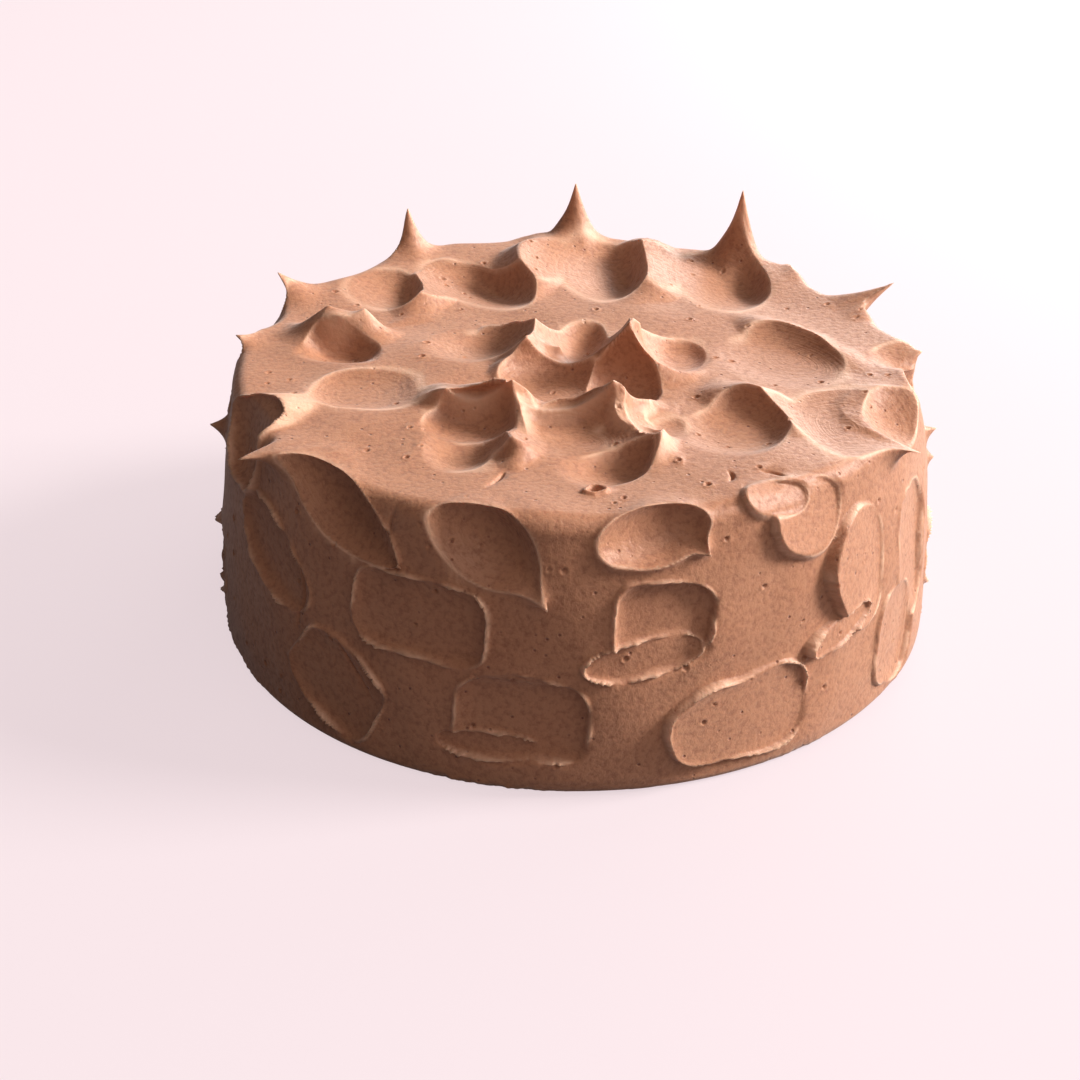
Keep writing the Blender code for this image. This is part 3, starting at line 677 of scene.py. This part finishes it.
# %% The scoops of the corner
def scoop_corner(icing):
    """The bites behind, the three leaves in front, the flaps on the right and the bay on the left."""
    bite = dict(skew=0.0, crisp=3, soft=3, rough=0.1)
    for phi, half_long, half_wide, depth in ((123, 16, 12, 6), (163, 14, 9, 3), (-164, 16, 10, 3),
                                             (-132, 16, 12, 4), (-106, 12, 10, 4), (106, 11, 9, 3)):
        scoop(icing, on_corner(phi, 45, 0, 1), 0, (half_long, half_wide), depth, seed=abs(phi), **bite)
    leaf = dict(steep=2.2, skew=0.35, crisp=0.3, soft=0.6, lip=2.2, lip_out=2.2, rough=0.2, patchy=0.4)
    scoop(icing, on_corner(-37.5, 14, 0, 8), 66, (9, 21), 5.5, power=1.7, seed=31, **leaf)
    scoop(icing, on_corner(-12.5, 18, 0, 8.5), 58, (9.5, 14.5), 4.5, power=1.8, seed=32, **leaf)
    scoop(icing, on_corner(11.5, 25, 0, 5.5), 12, (13.5, 7.5), 4, seed=33, **leaf)
    flap = dict(floor=3, follow=0.6, crisp=1.0, soft=3, lip=0.5, lip_in=0.8, lip_out=0.8, rough=0.2)
    press(icing, on_corner(37, 28, 0, 9), 165, (12, 10), 0.6, power=2.4, tilt=2.2, lift=1.8, seed=34, **flap)
    press(icing, on_corner(32, 50, 2, 3), 172, (10, 5), 0.4, power=2.2, tilt=1.8, lift=1.4, seed=36, **flap)
    press(icing, on_corner(-66, 20, 0, 8), 190, (14, 13), 4.0, power=3, floor=4, taper=0.2, follow=0.35,
          lip=1.5, lip_in=1.2, lip_out=2, seed=35)
    scoop(icing, on_corner(92, 60, 6, 0), 0, (9, 14), 3.5, skew=0.0, crisp=1, soft=4, seed=37)
    scoop(icing, on_corner(68, 55, 6, 1), 20, (13, 11), 4, skew=0.3, crisp=0.5, soft=2, lip=1,
          lip_out=3, seed=38)


scoop_corner(icing)
print("corner scooped, lowest point above the foot's rounding at mm:",
      round(float(icing.points[icing.rest[:, 2] > FOOT_ROUND, 2].min()), 1))

# %% [markdown]
# Last come the horns. The three behind stand straight up, the ones at the sides lean out, and the
# small ones on the side are the ends of rims, where the knife left the frosting.

# %% The horns
def pull_horns(icing):
    """The horns of the corner, then the small tips that hang from the rims on the side."""
    for phi, tip, width, power in (
            (180, (0, 0, 20), 17, 3.5), (146.4, (0, 0, 24), 17, 3.5), (-146, (0, 0, 16.5), 15, 3.5),
            (-117, (-9, 3, 9), 14, 3.2), (116, (14, 2, 8), 15, 3.2), (-95, (-7, 0, 4), 10, 3.2),
            (95, (8, 0, 2), 12, 3.2), (59, (11, -4, -2), 13, 3.2)):
        pull(icing, corner_point(phi), tip, width, power=power)
    pull(icing, corner_point(-51), (-11, -4, 2), 10, power=2.6, curl=(-3, -1, -3))
    for phi, z, tip, width in ((-5.5, 60.5, (4, -3, -5), 8), (18.5, 70, (3, -2.5, -2), 6),
                               (-27.5, 64, (3, -2.5, -5), 8), (86, 71, (3, 0, 0), 6),
                               (83, 61, (3.5, 0, 1), 7), (85, 51, (2.5, 0, 0), 6)):
        pull(icing, wall_point(phi, z), tip, width)


pull_horns(icing)
print("corner marked, highest horn at mm:", round(float(icing.points[:, 2].max()), 1))

# %% [markdown]
# ## The finest marks
#
# Frosting is full of air, and the knife opens the bubbles that it passes. A bump map would do for
# most of them, but real dents cast real shadows, so they go into the mesh: scattered by a seeded
# draw, so that each run gives the same cake, and one large one at the front of the top.

# %% Opened air bubbles
def prick(icing, point, normal, width, depth, rim=0.3):
    """An opened bubble: a round dent depth * (1 - r * r) ** 2 deep, with a ring pushed up round it."""
    near = icing.near(np.array(point), None, 1.6 * width)
    rest = icing.rest[near] - point
    far = np.linalg.norm(rest, axis=1) * (1 + 0.2 * waves(rest, 2.5 * width, int(abs(point[0]) * 7))) / width
    dent = -depth * np.clip(1 - far * far, 0, 1) ** 2
    ring = rim * depth * np.exp(-((far - 1.05) / 0.22) ** 2)
    icing.points[near] += np.outer(dent + ring, normal)


rng = np.random.default_rng(21)
BUBBLES_TOP, BUBBLES_SIDE = 110, 150
BUBBLE_WIDTH, BUBBLE_DEPTH = (0.6, 1.1), (0.5, 1.0)
LARGE_BUBBLE = (5.5, -82.0, CAKE_HEIGHT)
for _ in range(BUBBLES_TOP):
    x, y = rng.uniform(-92, 92, 2)
    if math.hypot(x, y) < TOP_RADIUS - 6:
        width, depth = rng.uniform(*BUBBLE_WIDTH), rng.uniform(*BUBBLE_DEPTH)
        prick(icing, (x, y, CAKE_HEIGHT), (0, 0, 1), width, depth)
for _ in range(BUBBLES_SIDE):
    phi, z = rng.uniform(0, 360), rng.uniform(5, 74)
    width, depth = rng.uniform(*BUBBLE_WIDTH), rng.uniform(*BUBBLE_DEPTH)
    prick(icing, wall_point(phi, z), outward(phi), width, depth)
prick(icing, LARGE_BUBBLE, (0, 0, 1), 2.2, 2.0, rim=0.45)
print("bubbles tried on the top and made on the side:", BUBBLES_TOP, BUBBLES_SIDE)

# %% [markdown]
# A crack is a fold turned inside out: short, narrow and about a millimetre deep. Cracks open where
# stiff frosting was bent, beside the corner and at the ends of dabs. And where the frosting meets
# what the cake stands on, its foot is frayed in patches, by a fine wave that comes and goes with a
# slow one.

# %% Cracks and the foot
TOP_CRACKS = ((-20, -76, -4, -9), (51, -74, 5, -2), (40, -76, 0, -5))
FRAY_HEIGHT = 3.5
for x, y, dx, dy in TOP_CRACKS:
    fold(icing, on_top(x, y), (-dx / 2, -dy / 2), (0.8, 0), (dx / 2, dy / 2), -1.4, 0.9)
fold(icing, on_wall(-27.5, 68), (1, 9), (-0.6, 0), (2.4, -9), -1.4, 0.9)
fold(icing, on_wall(-34, 26), (-5, 9), (0, 1), (6, -7), -1.0, 0.8)
fold(icing, on_wall(-45, 40), (-3, 11), (1, 0), (0, -9), -1.0, 0.9)

foot = np.nonzero(icing.loose & (icing.rest[:, 2] < FRAY_HEIGHT))[0]
at_foot = icing.rest[foot]
fray = 0.3 * waves(at_foot, 12, 31) + 0.25 * waves(at_foot, 2.5, 32, count=15)
fray *= np.clip(0.3 + waves(at_foot, 45, 33), 0, 1)
fray *= smooth((FRAY_HEIGHT - at_foot[:, 2]) / 2)
icing.points[foot, :2] *= (1 + fray / TOP_RADIUS)[:, None]
icing.points[icing.loose, 2] = np.maximum(icing.points[icing.loose, 2], 0.02)
print("cracks made, and the foot frayed by up to mm:", round(float(np.abs(fray).max()), 2))

# %% [markdown]
# ## The mesh
#
# The points become a mesh in one call for each array. The grid is finer than it needs to be where
# the frosting is calm, so a Decimate modifier thins it to fewer than 200,000 triangles and keeps
# them where the surface bends. What the knife noted goes along as two attributes of the points.

# %% The mesh
MM = 0.001


def mesh_from_grid(name, icing):
    """One closed mesh from the icing's arrays: quads first, then the fans at the two poles."""
    quads, fans = icing.faces()
    mesh = bpy.data.meshes.new(name)
    mesh.vertices.add(len(icing.points))
    mesh.vertices.foreach_set("co", (icing.points * MM).astype(np.float32).ravel())
    mesh.loops.add(quads.size + fans.size)
    mesh.loops.foreach_set("vertex_index", np.concatenate([quads.ravel(), fans.ravel()]).astype(np.int32))
    mesh.polygons.add(len(quads) + len(fans))
    starts = np.r_[np.arange(len(quads)) * 4, quads.size + np.arange(len(fans)) * 3]
    mesh.polygons.foreach_set("loop_start", starts.astype(np.int32))
    mesh.update(calc_edges=True)
    mesh.shade_smooth()
    return mesh


mesh = mesh_from_grid("frosted_cake", icing)
stroke = mesh.attributes.new("stroke", 'FLOAT_VECTOR', 'POINT')
stroke.data.foreach_set("vector", icing.stroke.astype(np.float32).ravel())
# edge carries where lips, rims and tips get a painted highlight
edge = mesh.attributes.new("edge", 'FLOAT', 'POINT')
edge.data.foreach_set("value", icing.edge.astype(np.float32))
mesh.calc_loop_triangles()
print("triangles before thinning:", len(mesh.loop_triangles))

# %% [markdown]
# The mesh takes the imported cake's place, which is hidden. It rides on the root body, so whoever
# moves that body moves this too.

# %% The cake's piece
MOST_TRIANGLES = 190000
cake = bpy.data.objects.new("frosted_cake", mesh)
bpy.context.scene.collection.objects.link(cake)
thin = cake.modifiers.new("thin", 'DECIMATE')
thin.ratio = min(1.0, MOST_TRIANGLES / len(mesh.loop_triangles))
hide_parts("cake")
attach(cake, "root")
print("share of the triangles kept:", round(thin.ratio, 3))

# %% [markdown]
# ## Malt frosting
#
# Malt buttercream is butter beaten with sugar, malted milk and a little cocoa: a milky light
# brown. It is opaque but not hard to light, so a small share of subsurface scattering softens the
# thin crests. The knife leaves it satin, never glossy, and the beaten-in air leaves it finely
# grained, with open pores. Its colours were picked as they look on a screen and are turned linear
# by one function, which is what Blender's sockets want.

# %% Colours
def linear(hex_colour):
    """An sRGB hex colour as linear RGBA: each channel through the sRGB curve's inverse."""
    channels = [int(hex_colour[i:i + 2], 16) / 255 for i in (1, 3, 5)]
    return [c / 12.92 if c <= 0.04045 else ((c + 0.055) / 1.055) ** 2.4 for c in channels] + [1.0]


FROSTING = linear("#B07858")  # the body: a warm milky brown, neither red nor orange
FROSTING_PAINTED_SHADE = linear("#85503A")  # painted shade between grains and in pores: the fine speckle
FROSTING_PALE = linear("#B98464")  # slow clouds of less cocoa: keeps calm areas from looking painted
FROSTING_PAINTED_HIGHLIGHT = linear("#DDAE90")  # painted highlight on lips, rims and tips
print("frosting, linear:", np.round(FROSTING[:3], 3))

# %% [markdown]
# Materials are small graphs of nodes. Built by hand in the editor they are hard to read back, so one
# small function adds a node with its settings and its links in a single line.

# %% A helper for nodes
def node(tree, kind, settings=None, **links):
    """Add one node. settings holds its properties, and the rest gives its sockets a value or a link.

    A socket goes by its name, with _ for a space, or by its number after a _, as in _0.
    """
    new = tree.nodes.new(kind)
    for name, value in (settings or {}).items():
        setattr(new, name, value)
    for name, value in links.items():
        socket = new.inputs[int(name[1:])] if name[0] == "_" else new.inputs[name.replace("_", " ")]
        if isinstance(value, bpy.types.NodeSocket):
            tree.links.new(value, socket)
        else:
            socket.default_value = value
    return new


def math_node(tree, operation, first, second):
    """The outcome of one operation on two values or sockets."""
    return node(tree, "ShaderNodeMath", {"operation": operation}, _0=first, _1=second).outputs[0]


def mapped(tree, value, low, high, to_low, to_high):
    """value carried from the range low to high into the range to_low to to_high, and held there."""
    return node(tree, "ShaderNodeMapRange", _0=value, _1=low, _2=high, _3=to_low, _4=to_high).outputs[0]


def mixed(tree, share, first, second):
    """Two colours mixed: first where share is 0 and second where it is 1."""
    return node(tree, "ShaderNodeMix", {"data_type": 'RGBA'}, _0=share, _6=first, _7=second).outputs[2]


print("node helpers ready")

# %% [markdown]
# Two details make it frosting and not clay. Along a stroke the grain is drawn out into lines: noise
# in the stroke's own millimetres, squeezed across it and stretched along it. And beaten-in air
# leaves pores too small for the mesh: the middles of one cell in five of a cell pattern.

# %% Drawn lines and pores
PER_MM = 1 / MM
LINE_MM, LINE_LENGTH_MM = 1.1, 14.0
PORE_CELL_MM = 3.0


def drawn_lines(tree):
    """Streaks where the knife was drawn over the frosting, as strong as the stroke attribute says."""
    stroke = node(tree, "ShaderNodeAttribute", {"attribute_name": "stroke"}).outputs["Vector"]
    shown = node(tree, "ShaderNodeSeparateXYZ", Vector=stroke).outputs["Z"]
    drawn = node(tree, "ShaderNodeVectorMath", {"operation": 'MULTIPLY'}, _0=stroke,
                 _1=(1 / LINE_LENGTH_MM, 1 / LINE_MM, 0))
    streaks = node(tree, "ShaderNodeTexNoise", Vector=drawn.outputs[0], Scale=1.0, Detail=2.0)
    return math_node(tree, 'MULTIPLY', streaks.outputs["Fac"], shown)


def open_pores(tree, position):
    """1 in a pore and 0 elsewhere: the middle of a cell, in the cells whose random colour is high."""
    cells = node(tree, "ShaderNodeTexVoronoi", Vector=position, Scale=PER_MM / PORE_CELL_MM)
    chance = node(tree, "ShaderNodeSeparateXYZ", Vector=cells.outputs["Color"]).outputs["X"]
    chosen = mapped(tree, chance, 0.78, 0.84, 0.0, 1.0)
    middle = mapped(tree, cells.outputs["Distance"], 0.07, 0.19, 1.0, 0.0)
    return math_node(tree, 'MULTIPLY', chosen, middle)


print("lines, mm:", LINE_MM, "wide and", LINE_LENGTH_MM, "long; pores in cells of mm:", PORE_CELL_MM)

# %% [markdown]
# The material puts them together. Grain roughens the hollows between the grains and paints shade
# into them, darker still in the pores, and lips, rims and tips get a painted highlight, mixed with the
# pale brown. A little sheen gives the soft bloom of sugar and fat at grazing angles. All the relief
# goes through one bump.

# %% The frosting's material
GRAIN_MM = 0.8
CLOUD_MM = 18.0
RELIEF_MM = 0.25


def malt_frosting():
    """Beaten malt buttercream: satin, finely grained, drawn into lines by the knife, with a few pores.

    Colour is body and clouds, darkened by painted shade where grain or pores are deeper, then paled
    by a painted highlight from the edge attribute. Height is the grain, less the pores, plus the lines.
    """
    material = bpy.data.materials.new("malt_buttercream")
    material.use_nodes = True
    tree = material.node_tree
    shader = tree.nodes["Principled BSDF"]
    position = node(tree, "ShaderNodeTexCoord").outputs["Object"]
    grain = node(tree, "ShaderNodeTexNoise", Vector=position, Scale=PER_MM / GRAIN_MM / 2, Detail=3.0,
                 Roughness=0.6).outputs["Fac"]
    clouds = node(tree, "ShaderNodeTexNoise", Vector=position, Scale=PER_MM / CLOUD_MM, Detail=2.0)
    lines = drawn_lines(tree)
    pores = open_pores(tree, position)

    body = mixed(tree, clouds.outputs["Fac"], FROSTING, FROSTING_PALE)
    # painted shade: darker in the hollows between grains and in the pores
    grain_hollow_shade = mapped(tree, grain, 0.30, 0.55, 0.55, 0.0)
    painted_shade = math_node(tree, 'MAXIMUM', grain_hollow_shade, pores)
    speckled = mixed(tree, painted_shade, body, FROSTING_PAINTED_SHADE)
    edge = node(tree, "ShaderNodeAttribute", {"attribute_name": "edge"}).outputs["Fac"]
    # lips, rims and tips get a painted highlight through the edge attribute
    tree.links.new(mixed(tree, edge, speckled, FROSTING_PAINTED_HIGHLIGHT), shader.inputs["Base Color"])
    tree.links.new(mapped(tree, grain, 0.3, 0.7, 0.62, 0.45), shader.inputs["Roughness"])
    shader.inputs["Subsurface Weight"].default_value = 0.12
    shader.inputs["Subsurface Radius"].default_value = (1.0, 0.45, 0.28)
    shader.inputs["Subsurface Scale"].default_value = 0.003
    shader.inputs["IOR"].default_value = 1.45
    shader.inputs["Sheen Weight"].default_value = 0.18
    shader.inputs["Sheen Roughness"].default_value = 0.5

    relief = math_node(tree, 'ADD', math_node(tree, 'SUBTRACT', grain, pores), lines)
    bump = node(tree, "ShaderNodeBump", Height=relief, Strength=0.9, Distance=RELIEF_MM * MM)
    tree.links.new(bump.outputs["Normal"], shader.inputs["Normal"])
    return material


mesh.materials.append(malt_frosting())
print("nodes in the frosting:", len(mesh.materials[0].node_tree.nodes))

# %% [markdown]
# ## The set
#
# The floor is plain and pale. A real white sheet would throw its light back up and wash out the
# cake's warm shade, so the floor is dull to the cake and glows softly to the camera alone, which
# also keeps its shadows pale. In mirrorings it glows far less.

# %% The floor
FLOOR_SIZE = 8.0
GLOW_SEEN = 0.74
GLOW_MIRRORED = 0.15


def pale_floor():
    """A flat square of floor, a single face, whose glow depends on the kind of ray that meets it."""
    half = FLOOR_SIZE / 2
    mesh = bpy.data.meshes.new("floor")
    corners = [(-half, -half, 0), (half, -half, 0), (half, half, 0), (-half, half, 0)]
    mesh.from_pydata(corners, [], [(0, 1, 2, 3)])
    material = bpy.data.materials.new("pale_floor_paint")
    material.use_nodes = True
    tree = material.node_tree
    shader = tree.nodes["Principled BSDF"]
    shader.inputs["Base Color"].default_value = linear("#6E6769")
    shader.inputs["Roughness"].default_value = 0.8
    shader.inputs["Emission Color"].default_value = linear("#FFEDF1")
    ray = node(tree, "ShaderNodeLightPath")
    mirrored = math_node(tree, 'MULTIPLY', ray.outputs["Is Glossy Ray"], GLOW_MIRRORED)
    glow = node(tree, "ShaderNodeMath", {"operation": 'MULTIPLY_ADD'}, _0=ray.outputs["Is Camera Ray"],
                _1=GLOW_SEEN, _2=mirrored)
    tree.links.new(glow.outputs[0], shader.inputs["Emission Strength"])
    mesh.materials.append(material)
    floor = bpy.data.objects.new("floor", mesh)
    bpy.context.scene.collection.objects.link(floor)
    return floor


floor = pale_floor()
print("floor, m:", FLOOR_SIZE, "square")

# %% [markdown]
# Three lights stand round it. The key comes from the right, 30 degrees up: it models the swoops of the
# top and leaves the front and the left side in a warm shade. The sky is a weak wide light from above,
# which picks out the lips of the dabs in that shade. A wide soft window stands behind on the right.
# It adds little light, but slopes that face it mirror it and turn pale.

# %% The lights
def aimed(thing, start, target):
    """Place thing at start with its -Z towards target and its Y up."""
    thing.location = start
    thing.rotation_euler = (Vector(target) - Vector(start)).to_track_quat('-Z', 'Y').to_euler()
    bpy.context.scene.collection.objects.link(thing)


def sun(name, azimuth, elevation, energy, spread, colour):
    """A sun lamp seen at azimuth and elevation, spread degrees across, so that its shadows are soft."""
    lamp = bpy.data.lights.new(name, 'SUN')
    lamp.energy = energy
    lamp.angle = math.radians(spread)
    lamp.color = linear(colour)[:3]
    start = outward(azimuth) * math.cos(math.radians(elevation))
    start[2] = math.sin(math.radians(elevation))
    aimed(bpy.data.objects.new(name, lamp), start, (0, 0, 0))


def window(azimuth, height, away, size, radiance):
    """A soft bright window, away m off: its power is the radiance times pi times its area."""
    glass = bpy.data.lights.new("window", 'AREA')
    glass.shape = 'RECTANGLE'
    glass.size, glass.size_y = size
    glass.energy = radiance * math.pi * size[0] * size[1]
    start = outward(azimuth) * away
    start[2] = height
    aimed(bpy.data.objects.new("window", glass), start, (0, 0, 0.05))


sun("key", 95, 30, 5.8, 20, "#FFFBF8")
sun("sky", 45, 50, 1.0, 60, "#FFF4EE")
window(142, 0.26, 0.9, (0.9, 0.5), 6.5)
world = bpy.data.worlds.new("studio")
world.use_nodes = True
background = world.node_tree.nodes["Background"]
background.inputs["Color"].default_value = linear("#FFE8E4")
background.inputs["Strength"].default_value = 0.10
bpy.context.scene.world = world
print("lights:", [lamp.name for lamp in bpy.data.lights])

# %% [markdown]
# The camera looks down on the cake by about 30 degrees, through a lens a little longer than normal, so
# that the far edge of the top is only slightly smaller than the near one. The Standard view keeps the
# colours as they were picked.

# %% The camera
CAMERA_AT = (0.0, -0.5143, 0.3124)
CAMERA_AIM = (-0.0100, 0.0, 0.0164)
CAMERA_LENS = 64.4
SENSOR = 36.0
lens = bpy.data.cameras.new("camera")
lens.lens = CAMERA_LENS
lens.sensor_width = SENSOR
camera = bpy.data.objects.new("camera", lens)
aimed(camera, CAMERA_AT, CAMERA_AIM)
bpy.context.scene.camera = camera
bpy.context.scene.view_settings.view_transform = 'Standard'
print("camera, m from the cake's axis and above the floor:", abs(CAMERA_AT[1]), CAMERA_AT[2])
